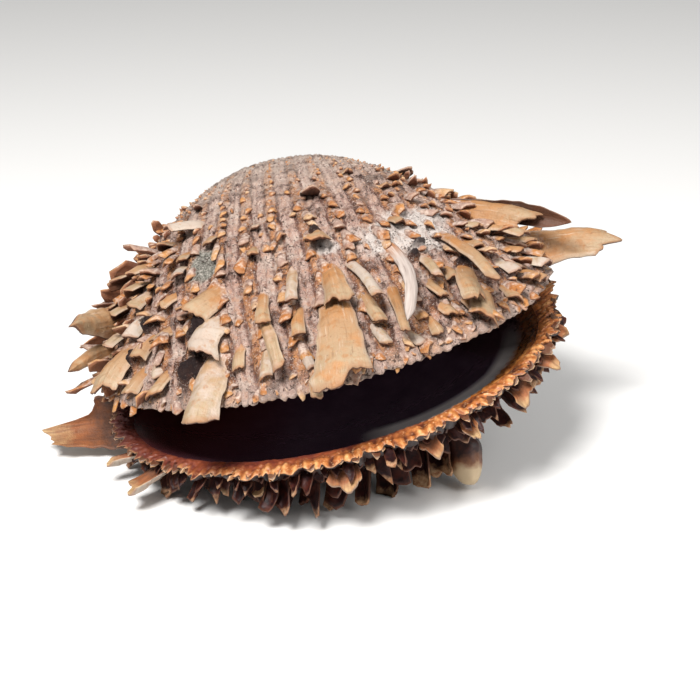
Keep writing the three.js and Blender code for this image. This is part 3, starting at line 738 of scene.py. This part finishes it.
def plate_piece(name, valve, rows, seed=1, rings=40, across=17, thickness=SHELL_THICKNESS,
                jag=1.0, root=ROOT, sink=SPINE_SINK, rounded=False, hollow=SPINE_HOLLOW):
    """Spines, plates or scales that stand on a valve, each laid out from its own growth direction."""
    points, facts = plates(valve, rows, seed, rings, across, thickness, jag, root, sink, rounded, hollow)
    faces = plate_faces(len(rows), rings, 2 * across)
    placed = place(valve, points)
    first = placed[0].reshape(-1, 3)
    one = faces[:len(faces) // len(rows)]
    if turned_out(first - first.mean(axis=0), one) is not one:
        faces = [tuple(reversed(face)) for face in faces]
    return make_piece(name, placed, faces, facts)


def scale_rows(seed):
    """Short scales in file along the ribs and riblets, bigger on the flanks than in the middle."""
    rows = []
    number = seed
    for file in range(-SCALE_FILES, SCALE_FILES + 1):
        rib = file * FILE_SPACING
        on_riblet = file % 2 == 0
        least_length, least_width = LEAST_ON_RIBLET if on_riblet else LEAST_ON_RIB
        flank = float(smooth((abs(rib) - FLANK_FROM) / FLANK_OVER)) * (1 if file < 0 else RIGHT_FLANK)
        kept = KEPT_ON_RIBLET if on_riblet else KEPT_ON_RIB + 0.6 * flank
        growth = 1.0 + 3 * float(uneven(file + seed))
        while growth < SCALES_UP_TO:
            number += 1
            chance, long, wide, lean, aside = (
                float(uneven(number + k)) for k in (0.0, 0.21, 0.43, 0.67, 0.89))
            grown_small = 1 - 0.72 * float(smooth((growth - 20) / 26))
            size = math.exp(-0.35 * math.radians(growth)) * grown_small
            if chance < kept:
                length = (least_length + 3.2 * long * long + 7.0 * flank * long * lean) * size
                width = (least_width + 0.9 * wide + 3.6 * flank * wide * long) * size
                lift = 5 + 14 * lean + (14 + 34 * wide) * flank
                roll = SCALE_ROLL * (chance - 0.4)
                more = dict(roll=roll, point=0.15 * lean * wide, slant=0.5 * (wide - 0.5))
                rows.append((
                    rib + 2.6 * (aside - 0.5), growth, length, width * 0.8, width * (0.8 + 0.6 * long),
                    lift, (34 + 70 * flank) * (aside - 0.5), more,
                ))
            growth += (1.6 + 1.6 * wide) * (1 + 0.6 * flank) * (0.6 + 0.4 * size)
    return rows


def fringe_rows(tiers, seed, flare=0):
    """Uneven scales that stand off the lip, in tiers."""
    rows = []
    number = seed
    for growth, length, width, lift, gaps, from_rib, to_rib in tiers:
        for file in range(-FRINGE_FILES, FRINGE_FILES + 1):
            number += 1
            rib = file * FRINGE_SPACING
            a, b, c, d = (float(uneven(number + k)) for k in (0.13, 0.37, 0.59, 0.83))
            if a < gaps or not from_rib <= rib <= to_rib:
                continue
            shorter = 0.65 if abs(rib) > FRINGE_BACK else 1
            more = dict(roll=SCALE_ROLL * (a - 0.5), slant=0.6 * (d - 0.5), point=0.3 * c)
            rows.append((
                rib + 1.6 * (b - 0.5), growth * (0.6 + 0.8 * c), length * shorter * (0.35 + b * b),
                width * (0.6 + 0.8 * d), width * (0.4 + flare + 0.8 * a),
                lift + 24 * (c - 0.5), 50 * (d - 0.5), more,
            ))
    return rows


def colour(hex_value):
    """An sRGB hex colour as a linear one."""
    channels = [int(hex_value[k:k + 2], 16) / 255 for k in (1, 3, 5)]
    return (*[c / 12.92 if c <= 0.04045 else ((c + 0.055) / 1.055) ** 2.4 for c in channels], 1)


def node(tree, kind, inputs, give=0, **settings):
    """Adds a node with its settings and its links or values, and gives one of its outputs."""
    made = tree.nodes.new("ShaderNode" + kind)
    for name, value in settings.items():
        setattr(made, name, value)
    for name, value in inputs.items():
        if isinstance(value, bpy.types.NodeSocket):
            tree.links.new(value, made.inputs[name])
        else:
            made.inputs[name].default_value = value
    return made.outputs[give] if made.outputs else None


def start_material(name, facts, grain_sizes):
    """An empty material, the named facts of its piece, and noise of some grain sizes in millimetres."""
    material = bpy.data.materials.new(name)
    material.use_nodes = True
    tree = material.node_tree
    tree.nodes.clear()
    where = node(tree, "TexCoord", {}, "Object")
    known = {fact: node(tree, "Attribute", {}, "Fac", attribute_name=fact) for fact in facts}
    for size in grain_sizes:
        scale = {"Vector": where, "Scale": 1 / (size * MM), "Detail": 3.0, "Roughness": 0.6}
        known[size] = node(tree, "TexNoise", scale)
    return material, tree, known


def painted(tree, base, layers):
    """Colours over each other: a value, where its colour starts, where it is full, how dense, which."""
    for value, begins, full, density, over in layers:
        ramp = {"Value": value, "From Min": begins, "From Max": full, "To Max": density}
        share = node(tree, "MapRange", ramp)
        over = colour(over) if isinstance(over, str) else over
        base = node(tree, "Mix", {0: share, 6: base, 7: over}, 2, data_type="RGBA")
    return base


def surfaced(tree, base, roughness, relief, strength, depth_mm, gloss):
    """The shell's surface: its colour, its fine relief, and how much and how sharply it shines."""
    bump = node(tree, "Bump", {"Height": relief, "Strength": strength, "Distance": depth_mm * MM})
    shader = node(tree, "BsdfPrincipled", {
        "Base Color": base, "Roughness": roughness, "Normal": bump, "Specular IOR Level": gloss,
    })
    node(tree, "OutputMaterial", {"Surface": shader})


def granular_lime():
    """Calcite crust over mauve shell, grown in grains and never polished: dry, matt and speckled."""
    # The grains are about 0.2 mm across, finer than the render shows, so 0.4 mm ones stand for them
    material, tree, k = start_material(
        "granular_lime_crust", ("rib", "riblet", "age", "rim", "hill", "pale", "greenish", "shadowed"),
        (6, 2.5, 1.1, 0.42, 0.25))
    where = node(tree, "TexCoord", {}, "Object")
    speck_at = node(tree, "VectorMath", {0: where, 1: (3, 1, 2)}, operation="ADD")
    speck = node(tree, "TexNoise", {"Vector": speck_at, "Scale": 1 / (0.45 * MM), "Detail": 1.0})
    stained = node(tree, "Math", {0: k[2.5], 1: k[1.1]}, operation="MULTIPLY")
    clusters = node(tree, "Math", {0: speck, 1: k[2.5]}, operation="MULTIPLY")
    mauve = painted(tree, colour("#957569"), (
        (k[6], 0.35, 0.65, 1, "#a88d80"),
        (k[1.1], 0.45, 0.7, 0.8, "#c0a89b"),
        (k[1.1], 0.46, 0.36, 0.7, "#7c5a4b"),
    ))
    rust = painted(tree, colour("#7f4f36"), (
        (k[1.1], 0.35, 0.65, 1, "#b37e50"),
        (k[2.5], 0.5, 0.65, 0.6, "#a58570"),
    ))
    # The dark brown base shows in the furrows between the ribs: painted shade in the furrows
    base = painted(tree, colour("#65453a"), ((k["rib"], 0.05, 0.6, 1, mauve),))
    rusty = node(tree, "Math", {0: k["riblet"], 1: k[6]}, operation="MULTIPLY")
    old = node(tree, "Math", {0: k["age"], 1: k[2.5]}, operation="MULTIPLY")
    # Painted shadow: near-black under the overhanging plates, broken up by noise
    painted_shadow = node(tree, "Math", {0: k["shadowed"], 1: k[1.1]}, operation="MULTIPLY")
    chalky = node(tree, "Math", {0: k["pale"], 1: k[1.1]}, operation="MULTIPLY")
    weed = painted(tree, colour("#4c4a40"), ((k[0.42], 0.35, 0.65, 1, "#98948a"),))
    inner = painted(tree, colour("#1f1216"), ((k[6], 0.3, 0.7, 1, "#35202a"),))
    bleached = painted(tree, colour("#a08e81"), ((k[1.1], 0.35, 0.65, 1, "#c0b0a4"),))
    base = painted(tree, base, (
        (rusty, 0.08, 0.42, 0.95, rust),
        # Painted shade in the low places of the crust and painted highlights on its high places
        (k["hill"], 0.45, 0.15, 1, "#452a20"),
        (k["hill"], 0.6, 0.95, 0.6, "#c6b3a5"),
        (stained, 0.25, 0.36, 0.5, "#a2683f"),
        (old, 0.2, 0.5, 0.8, bleached),
        (chalky, 0.2, 0.5, 1, "#bfb4ac"),
        (k["greenish"], 0.2, 0.8, 1, weed),
        (k[0.42], 0.56, 0.7, 0.5, "#cbbdb1"),
        (k[0.25], 0.4, 0.3, 0.7, "#4d352b"),
        (k[0.25], 0.6, 0.7, 0.7, "#dccfc5"),
        (k["age"], 0.045, 0.0, 0.5, "#b3a094"),
        (clusters, 0.2, 0.13, 0.85, "#2f1e18"),
        # painted shadow under the overhanging plates
        (painted_shadow, 0.14, 0.46, 0.95, "#190b0b"),
        (k["rim"], 0.34, 0.35, 1, inner),
    ))
    rough = painted(tree, (0.9, 0.9, 0.9, 1), ((k["rim"], 0.34, 0.35, 1, (0.4, 0.4, 0.4, 1)),))
    relief = node(tree, "Math", {0: k[0.42], 1: k[0.25]}, operation="ADD")
    surfaced(tree, base, roughness=rough, relief=relief, strength=0.9, depth_mm=0.45, gloss=0.3)
    return material


def leafy_calcite():
    """Calcite laid down in thin leaves and broken at the ends: orange at the foot, cream and satin beyond."""
    # The fibres are about 0.1 mm wide, finer than the render shows, and are drawn 0.4 mm wide
    material, tree, k = start_material(
        "leafy_calcite_spine", ("along", "across", "reach", "under", "edge", "torn", "leaf", "tint"),
        (5, 2, 0.9, 0.4))
    drawn_out = node(tree, "Math", {0: k["reach"], 1: 0.12}, operation="MULTIPLY")
    shifted = node(tree, "Math", {0: k["tint"], 1: 31.0}, operation="MULTIPLY")
    fibre_at = node(tree, "CombineXYZ", {"X": k["across"], "Y": drawn_out, "Z": shifted})
    fibre = node(tree, "TexNoise", {"Vector": fibre_at, "Scale": 2.2, "Detail": 3.0})
    crosswise = node(tree, "Math", {0: k["across"], 1: 0.25}, operation="MULTIPLY")
    band_at = node(tree, "CombineXYZ", {"X": crosswise, "Y": k["reach"], "Z": shifted})
    banded = node(tree, "TexNoise", {"Vector": band_at, "Scale": 1.3, "Detail": 3.0})
    beyond = node(tree, "Math", {0: k["tint"], 1: 0.5, 2: k["along"]}, operation="MULTIPLY_ADD")
    crusted = node(tree, "Math", {0: k[2], 1: 0.6, 2: k["along"]}, operation="MULTIPLY_ADD")
    bleached = node(tree, "Math", {0: k[5], 1: k["tint"]}, operation="MULTIPLY")
    # The plates of the lower half whose tint is over 1.2 show their inner side: dark, then orange, then tan
    opened_up = node(tree, "Math", {0: k["tint"], 1: 1.2}, operation="GREATER_THAN")
    facing_light = node(tree, "Math", {0: k[2], 1: 0.5, 2: k["along"]}, operation="MULTIPLY_ADD")
    facing_light = node(tree, "Math", {0: facing_light, 1: opened_up}, operation="MULTIPLY")
    crust = painted(tree, colour("#8a6350"), (
        (k[0.9], 0.4, 0.62, 1, "#b39c8d"),
        (k[0.4], 0.56, 0.66, 0.7, "#cfc0b4"),
    ))
    under_side = painted(tree, colour("#2a100c"), (
        (k["along"], 0.6, 1.1, 0.8, "#683a22"),
        (facing_light, 0.5, 0.8, 1, "#8e4e20"),
        (facing_light, 0.85, 1.15, 1, "#b59468"),
        (fibre, 0.45, 0.62, 0.45, "#5c3019"),
    ))
    base = painted(tree, colour("#99683a"), (
        (beyond, 0.3, 0.95, 1, "#9c876b"),
        (k[5], 0.5, 0.66, 0.65, "#a86f3a"),
        (fibre, 0.42, 0.62, 0.4, "#9a7556"),
        (fibre, 0.6, 0.72, 0.45, "#b9a895"),
        (fibre, 0.42, 0.3, 0.5, "#76563c"),
        (banded, 0.56, 0.66, 0.3, "#94683f"),
        (bleached, 0.3, 0.42, 0.75, "#ada095"),
        (k["leaf"], 0.85, 1.0, 0.35, "#80532f"),
        (k[2], 0.56, 0.68, 0.5, "#95602f"),
        (k["edge"], 0.8, 1.0, 0.4, "#c3b3a1"),
        (crusted, 0.55, 0.42, 1, crust),
        (k[0.9], 0.34, 0.26, 0.6, "#5e3d2b"),
        (k["torn"], 0.3, 1.0, 0.5, "#8d5a36"),
        (k["under"], 0.4, 0.6, 0.92, under_side),
    ))
    relief = node(tree, "Math", {0: fibre, 1: k[0.4]}, operation="ADD")
    relief = node(tree, "Math", {0: banded, 1: 0.8, 2: relief}, operation="MULTIPLY_ADD")
    surfaced(tree, base, roughness=0.6, relief=relief, strength=0.5, depth_mm=0.35, gloss=0.4)
    return material


def rusty_scale():
    """The same calcite in short young scales: rust to apricot, some bleached or furred with lime."""
    material, tree, k = start_material(
        "rusty_calcite_scale", ("along", "under", "torn", "tint"), (5, 2, 0.9, 0.42))
    crusted = node(tree, "Math", {0: k[2], 1: 0.8, 2: k["along"]}, operation="MULTIPLY_ADD")
    crust = painted(tree, colour("#7d6053"), ((k[0.9], 0.38, 0.62, 1, "#ab9689"),))
    base = painted(tree, colour("#99602f"), (
        (k["tint"], 0.3, 0.5, 1, "#aa7642"),
        (k["tint"], 0.6, 0.75, 1, "#b08d68"),
        (k["tint"], 0.82, 0.84, 1, "#96796b"),
        (k[5], 0.5, 0.65, 0.5, "#985a29"),
        (crusted, 1.05, 0.75, 1, crust),
        (k[0.9], 0.52, 0.66, 0.65, "#bba797"),
        (k[0.9], 0.42, 0.3, 0.7, "#4f2f23"),
        (k["torn"], 0.2, 1.0, 0.2, "#bfa182"),
        (k["under"], 0.4, 0.6, 0.9, "#7a4c35"),
    ))
    surfaced(tree, base, roughness=0.78, relief=k[0.42], strength=0.7, depth_mm=0.3, gloss=0.35)
    return material


def bleached_chalk():
    """A spine that has weathered to bare chalk: off-white, matt and split lengthwise, tan at its foot."""
    material, tree, k = start_material("bleached_chalk_spine", ("along", "across", "under"), ())
    lengthwise = node(tree, "Math", {0: k["along"], 1: 1.6}, operation="MULTIPLY")
    split_at = node(tree, "CombineXYZ", {"X": k["across"], "Y": lengthwise})
    split = node(tree, "TexNoise", {"Vector": split_at, "Scale": 2.0, "Detail": 3.0})
    base = painted(tree, colour("#9a6843"), (
        (k["along"], 0.12, 0.32, 1, "#a3958c"),
        (split, 0.45, 0.62, 0.6, "#b9aca3"),
        (split, 0.42, 0.3, 0.7, "#70605a"),
        (k["under"], 0.4, 0.6, 0.7, "#6b4f42"),
    ))
    surfaced(tree, base, roughness=0.85, relief=split, strength=0.6, depth_mm=0.4, gloss=0.3)
    return material


def porcelain_rim(tree, k):
    """The rim's colours: amber at the right and in the middle, red-brown at the left, with painted shade
    between its pimples and ridges and painted highlights on them.
    """
    amber = painted(tree, colour("#8a4a22"), (
        (k[1.2], 0.35, 0.65, 1, "#a9642f"),
        # Painted highlights on the high pimples and ridges, painted shade in the low places between them
        (k["hill"], 0.42, 0.85, 0.95, "#d29a5e"),
        (k["hill"], 0.3, 0.05, 0.95, "#43190d"),
        (k[0.5], 0.58, 0.7, 0.7, "#e0b588"),
    ))
    red_brown = painted(tree, colour("#54201a"), ((k[2.5], 0.35, 0.65, 1, "#7a3a20"),))
    off_right = node(tree, "Math", {0: k["turn"], 1: -0.012, 2: k["rim"]}, operation="MULTIPLY_ADD")
    return painted(tree, amber, (
        (off_right, 0.35, 0.85, 1, red_brown),
        (k["turn"], -48, -80, 0.9, "#4a1c17"),
        (k["rim"], 0.12, 0.0, 0.5, "#c39468"),
    ))


def porcelain_inside(tree, k):
    """The hollow's colours: purple-black, with amber and a painted grey sheen down the right side from the
    rim, a painted reflection.
    """
    bright_amber = painted(tree, colour("#a2531f"), (
        (k[2.5], 0.35, 0.65, 1, "#cf7f3c"),
        (k[1.2], 0.45, 0.65, 0.7, "#e3a05c"),
        (k[1.2], 0.45, 0.32, 0.8, "#6a2c12"),
    ))
    purple = painted(tree, colour("#43303f"), ((k[7], 0.3, 0.7, 1, "#55404f"),))
    reddish = painted(tree, purple, ((k["turn"], -20, -70, 0.9, "#5a221c"),))
    # A pale band just inside the amber on the right is a painted sheen: a reflection painted into the colour
    right = node(tree, "MapRange", {"Value": k["turn"], "From Min": 14, "From Max": 60})
    below_amber = node(tree, "Math", {0: right, 1: -0.12, 2: k["inside"]}, operation="MULTIPLY_ADD")
    low_front = node(tree, "MapRange", {"Value": k["turn"], "From Min": 60, "From Max": 12, "To Max": 0.3})
    from_strip = node(tree, "Math", {0: below_amber, 1: low_front}, operation="SUBTRACT")
    middle = node(tree, "Math", {0: k["turn"], 1: 50}, operation="SUBTRACT")
    beside = node(tree, "Math", {0: middle}, operation="ABSOLUTE")
    lit = node(tree, "MapRange", {"Value": beside, "From Min": 46, "From Max": 30})
    painted_sheen_reach = node(tree, "MapRange", {"Value": from_strip, "From Min": 0.12, "From Max": 0.05})
    painted_sheen = node(tree, "Math", {0: lit, 1: painted_sheen_reach}, operation="MULTIPLY")
    return painted(tree, reddish, (
        # painted sheen: a reflection painted as a near-white colour
        (painted_sheen, 0.1, 0.9, 1, "#f4ece8"),
        (below_amber, 0, -0.05, 1, bright_amber),
        (k["turn"], 66, 78, 0.85, "#2a1213"),
    ))


def porcelain_bowl():
    """Shell grown smooth inside and pimpled at the rim: satin porcelain, purple-black, with an amber rim."""
    material, tree, k = start_material(
        "porcelain_bowl_and_rim", ("rim", "inside", "turn", "hill"), (7, 2.5, 1.2, 0.5))
    outer = painted(tree, colour("#120606"), ((k[1.2], 0.35, 0.65, 1, "#2c100c"),))
    base = painted(tree, outer, (
        (k["rim"], 0.01, 0.03, 1, porcelain_rim(tree, k)),
        (k["inside"], 0.0004, 0.0006, 1, porcelain_inside(tree, k)),
    ))
    rough = painted(tree, (0.5, 0.5, 0.5, 1), ((k["inside"], 0.0004, 0.0006, 1, (0.26, 0.26, 0.26, 1)),))
    surfaced(tree, base, roughness=rough, relief=k[1.2], strength=0.25, depth_mm=0.25, gloss=0.5)
    return material


def maroon_calcite():
    """Young calcite of the lower half's frills: satin, dark maroon, a few worn to tan at the tips."""
    material, tree, k = start_material("maroon_calcite_frill", ("along", "torn", "edge", "tint"), (2.5, 0.9))
    worn = node(tree, "Math", {0: k["tint"], 1: 0.55, 2: k["along"]}, operation="MULTIPLY_ADD")
    worn = node(tree, "Math", {0: k[2.5], 1: 0.6, 2: worn}, operation="MULTIPLY_ADD")
    tan = painted(tree, colour("#8a5c3c"), ((k[0.9], 0.35, 0.65, 1, "#bf9c79"),))
    base = painted(tree, colour("#160607"), (
        (k[0.9], 0.35, 0.65, 1, "#2e0f0c"),
        (k[2.5], 0.5, 0.65, 0.7, "#431a10"),
        (worn, 1.45, 1.62, 1, tan),
        (k["edge"], 0.75, 1.0, 0.35, "#6e4631"),
        (k["torn"], 0.5, 1.0, 0.3, "#7a4c34"),
    ))
    surfaced(tree, base, roughness=0.5, relief=k[0.9], strength=0.4, depth_mm=0.3, gloss=0.22)
    return material


def amber_calcite():
    """Thin young calcite at the edge of the lower lip: amber with paler tips, satin."""
    material, tree, k = start_material("amber_calcite_teeth", ("along", "under", "torn", "tint"), (0.9,))
    base = painted(tree, colour("#6e3519"), (
        (k["along"], 0.2, 0.8, 1, "#b07a4c"),
        (k["tint"], 0.45, 0.8, 0.8, "#c49c76"),
        (k[0.9], 0.5, 0.68, 0.6, "#c9a27a"),
        (k["torn"], 0.2, 1.0, 0.6, "#cfae8c"),
        (k["under"], 0.4, 0.6, 0.8, "#3c1712"),
    ))
    surfaced(tree, base, roughness=0.5, relief=k[0.9], strength=0.4, depth_mm=0.3, gloss=0.5)
    return material


def cream_tip():
    """A thick old spine of the lower half, worn round: dark maroon, with a smooth cream end."""
    material, tree, k = start_material("cream_tipped_calcite", ("along",), (4, 1.2))
    worn = node(tree, "Math", {0: k[4], 1: 0.3, 2: k["along"]}, operation="MULTIPLY_ADD")
    dark = painted(tree, colour("#190808"), ((k[1.2], 0.35, 0.65, 1, "#3c1b12"),))
    base = painted(tree, dark, ((worn, 0.8, 0.9, 1, "#7d5034"), (worn, 0.88, 0.98, 1, "#bda685")))
    surfaced(tree, base, roughness=0.5, relief=k[1.2], strength=0.3, depth_mm=0.3, gloss=0.5)
    return material


def dried_ligament():
    """Horny protein that dried out: dark brown, split in layers, with a dull gloss."""
    material, tree, k = start_material("dried_horny_ligament", (), (0.9,))
    base = painted(tree, colour("#120b09"), ((k[0.9], 0.3, 0.7, 1, "#3a2419"),))
    surfaced(tree, base, roughness=0.42, relief=k[0.9], strength=0.4, depth_mm=0.3, gloss=0.5)
    return material


def porcelain_tooth():
    """Dense shell rubbed smooth by its socket: brown porcelain with a soft shine."""
    material, tree, k = start_material("porcelain_hinge_tooth", (), (2,))
    base = painted(tree, colour("#7d5f4c"), ((k[2], 0.35, 0.65, 1, "#94745e"),))
    surfaced(tree, base, roughness=0.35, relief=k[2], strength=0.2, depth_mm=0.2, gloss=0.5)
    return material


def pale_card():
    """Matt white card under the shell, smooth enough to show no grain."""
    material, tree, k = start_material("matt_white_card", (), (0.5,))
    surfaced(tree, colour("#e8e6e3"), roughness=0.9, relief=k[0.5], strength=0.02, depth_mm=0.05, gloss=0.2)
    return material


# Tiers along a lip: growth line, length, width, lift, share left out, and from which rib to which
UPPER_FRINGE = [
    (0.6, 2.6, 2.2, 6, 0.1, -118, 118),
    (1.6, 3.6, 2.4, 14, 0.4, -118, 118),
    (0.9, 4.2, 2.4, 12, 0.45, -88, -28),
]
LOWER_TEETH = [(0.2, 3.0, 1.7, 34, 0.12, -112, 112)]
LOWER_FRINGE = [
    (1.2, 4.6, 1.9, 58, 0.2, -118, 118),
    (2.4, 6.0, 2.6, 72, 0.4, -118, 4),
    (2.4, 5.0, 2.8, 72, 0.4, 5, 118),
    (5, 7.4, 3.2, 78, 0.55, -100, 4),
    (6, 5.4, 3.6, 78, 0.5, 5, 118),
    (10, 7.0, 4, 80, 0.5, -50, 70),
]

upper_wall = valve_wall("upper_shell_wall", UPPER, columns=480, rows=(184, 8, 8), crust=upper_crust,
                        replaced=["upper_valve"])
lower_wall = valve_wall("lower_shell_wall", LOWER, columns=660, rows=(78, 30, 38), crust=lower_crust,
                        replaced=["lower_valve"])
upper_spines = plate_piece("upper_spines", UPPER, UPPER_SPINES, seed=1)
chalky_spine = plate_piece("bleached_spine", UPPER, [CHALKY_SPINE], seed=70, jag=0.5)
upper_scales = plate_piece("upper_scales", UPPER, scale_rows(200), seed=200, rings=6, across=4,
                           thickness=1.1, root=1.1, sink=0.1, hollow=0.36)
upper_fringe = plate_piece("upper_lip_fringe", UPPER, fringe_rows(UPPER_FRINGE, 900), seed=900,
                           rings=7, across=4, thickness=0.7, root=1.2, sink=0.3, hollow=0.45)
lower_spines = plate_piece("lower_spines", LOWER, LOWER_SPINES, seed=400, root=1.4, hollow=0.4)
pale_plates = plate_piece("lower_pale_plates", LOWER, LOWER_PALE_PLATES, seed=460, root=0.9,
                          sink=0.3)
trough_spine = plate_piece("left_trough_spine", LOWER, [TROUGH_SPINE], seed=420)
knob_spine = plate_piece("cream_tipped_spine", LOWER, [KNOB_SPINE], seed=430, jag=0, root=1.4,
                         rounded=True)
lower_teeth = plate_piece("lower_lip_teeth", LOWER, fringe_rows(LOWER_TEETH, 1100), seed=1100,
                          rings=7, across=4, thickness=0.8, root=0.9, sink=0.2, hollow=0.4)
lower_frills = plate_piece("lower_frills", LOWER, fringe_rows(LOWER_FRINGE, 1300, flare=0.35),
                           seed=1300, rings=8, across=5, thickness=0.8, jag=1.5, root=0.8, sink=0.2,
                           hollow=0.45)

for finish, pieces in (
    (granular_lime(), [upper_wall]),
    (porcelain_bowl(), [lower_wall]),
    (leafy_calcite(), [upper_spines, pale_plates, trough_spine]),
    (bleached_chalk(), [chalky_spine]),
    (rusty_scale(), [upper_scales, upper_fringe]),
    (maroon_calcite(), [lower_spines, lower_frills]),
    (cream_tip(), [knob_spine]),
    (amber_calcite(), [lower_teeth]),
):
    for piece in pieces:
        piece.data.materials.append(finish)


def own_place(piece):
    """Moves a finished piece's place into its mesh."""
    bpy.ops.object.select_all(action="DESELECT")
    piece.select_set(True)
    bpy.context.view_layer.objects.active = piece
    bpy.ops.object.transform_apply(location=True, rotation=True, scale=True)


def hinge_pad():
    """The horny pad between the two hinge plates, a wedge that opens with the gape, split in layers."""
    bpy.ops.object.select_all(action="DESELECT")
    bpy.ops.mesh.primitive_cube_add(size=1)
    pad = bpy.context.object
    pad.name = "hinge_pad"
    for vertex in pad.data.vertices:
        x = math.copysign(PAD_WIDTH / 2, vertex.co.x)
        y = PAD_FRONT if vertex.co.y < 0 else PAD_BACK
        z = math.copysign(PAD_DEPTH, vertex.co.z)
        opening = -GAPE if z > 0 else 0
        vertex.co = Matrix.Rotation(opening, 3, "X") @ Vector((x, y, z))
    bpy.ops.object.mode_set(mode="EDIT")
    bpy.ops.mesh.select_all(action="SELECT")
    bpy.ops.mesh.subdivide(number_cuts=9)
    bpy.ops.mesh.normals_make_consistent(inside=False)
    bpy.ops.object.mode_set(mode="OBJECT")
    points = np.array([vertex.co for vertex in pad.data.vertices])
    inwards = np.sign(points * np.array((1, 0, 0)) + np.array((0, 1, 0)))
    layers = np.sin(points[:, 2:] * PAD_LAYERS) * np.array(PAD_LAYER_DEPTHS) * inwards
    on_side = np.abs(points[:, :1]) > PAD_WIDTH / 2 - 0.01
    placed = place(LOWER, points - layers * on_side)
    pad.data.vertices.foreach_set("co", placed.ravel())
    bpy.ops.object.modifier_add(type="BEVEL")
    pad.modifiers["Bevel"].width = PAD_ROUNDING * MM
    pad.modifiers["Bevel"].segments = 2
    bpy.ops.object.modifier_apply(modifier="Bevel")
    bpy.ops.object.shade_smooth_by_angle(angle=math.radians(40))
    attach(pad, "root")
    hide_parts("hinge_ligament")
    pad.data.materials.append(dried_ligament())


def hinge_teeth():
    """Two blunt pegs on the lower hinge plate."""
    shiny = porcelain_tooth()
    turn = Matrix.Rotation(ROLL, 4, "Y") @ Matrix.Rotation(PITCH, 4, "X")
    tilt = Matrix.Translation(HINGE_FROM_SCAR) @ turn
    for name, x in (("hinge_tooth_left", -TOOTH_X), ("hinge_tooth_right", TOOTH_X)):
        bpy.ops.object.select_all(action="DESELECT")
        bpy.ops.mesh.primitive_cone_add(
            vertices=32, radius1=TOOTH_FOOT * MM, radius2=TOOTH_CROWN * MM,
            depth=(TOOTH_HEIGHT + TOOTH_SUNK) * MM,
        )
        tooth = bpy.context.object
        tooth.name = name
        bpy.ops.object.modifier_add(type="BEVEL")
        tooth.modifiers["Bevel"].width = TOOTH_ROUNDING * MM
        tooth.modifiers["Bevel"].segments = 4
        bpy.ops.object.modifier_apply(modifier="Bevel")
        bpy.ops.object.shade_smooth_by_angle(angle=math.radians(50))
        middle = Vector((x, TOOTH_Y, (TOOTH_HEIGHT - TOOTH_SUNK) / 2))
        tooth.matrix_world = Matrix.Translation((tilt @ middle) * MM) @ turn
        own_place(tooth)
        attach(tooth, "root")
        tooth.data.materials.append(shiny)


hinge_pad()
hinge_teeth()

# The card under the shell, in metres
FLOOR_SIZE = 4
FLOOR_GAP = 0.2 * MM
bpy.ops.object.select_all(action="DESELECT")
bpy.ops.mesh.primitive_plane_add(size=FLOOR_SIZE, location=(0, 0, -FLOOR_GAP))
floor = bpy.context.object
floor.name = "floor"
floor.data.materials.append(pale_card())


def soft_light(name, place_at, aim, size, power):
    """A square soft light that looks at a point of the shell, in metres and watts."""
    bpy.ops.object.light_add(type="AREA", location=place_at)
    light = bpy.context.object
    light.name = name
    light.data.size = size
    light.data.energy = power
    light.rotation_euler = (Vector(aim) - Vector(place_at)).to_track_quat("-Z", "Y").to_euler()


soft_light("key_light", place_at=(-0.13, -0.36, 0.52), aim=(0.01, -0.01, 0.03), size=0.18, power=6.6)
soft_light("fill_light", place_at=(0.45, -0.3, 0.5), aim=(0.01, 0, 0.03), size=0.4, power=2.5)
world = bpy.data.worlds.new("studio")
bpy.context.scene.world = world
world.use_nodes = True
sky = world.node_tree.nodes["Background"]
sky.inputs["Color"].default_value = colour("#f4f6f8")
sky.inputs["Strength"].default_value = 0.35
bpy.context.scene.view_settings.view_transform = "Standard"

# The camera stands where both lips and the dome's outline fall as they do in the photo
CAMERA_AT = Vector((0.02334, -0.34134, 0.16380))
CAMERA_LOOKS = Vector((-0.024185, 0.919603, -0.392103))
CAMERA_LENS = 88.17
bpy.ops.object.camera_add(location=CAMERA_AT)
camera = bpy.context.object
camera.name = "photo_camera"
camera.rotation_euler = CAMERA_LOOKS.to_track_quat("-Z", "Y").to_euler()
camera.data.lens = CAMERA_LENS
camera.data.sensor_width = 36
camera.data.clip_start = 0.01
bpy.context.scene.camera = camera
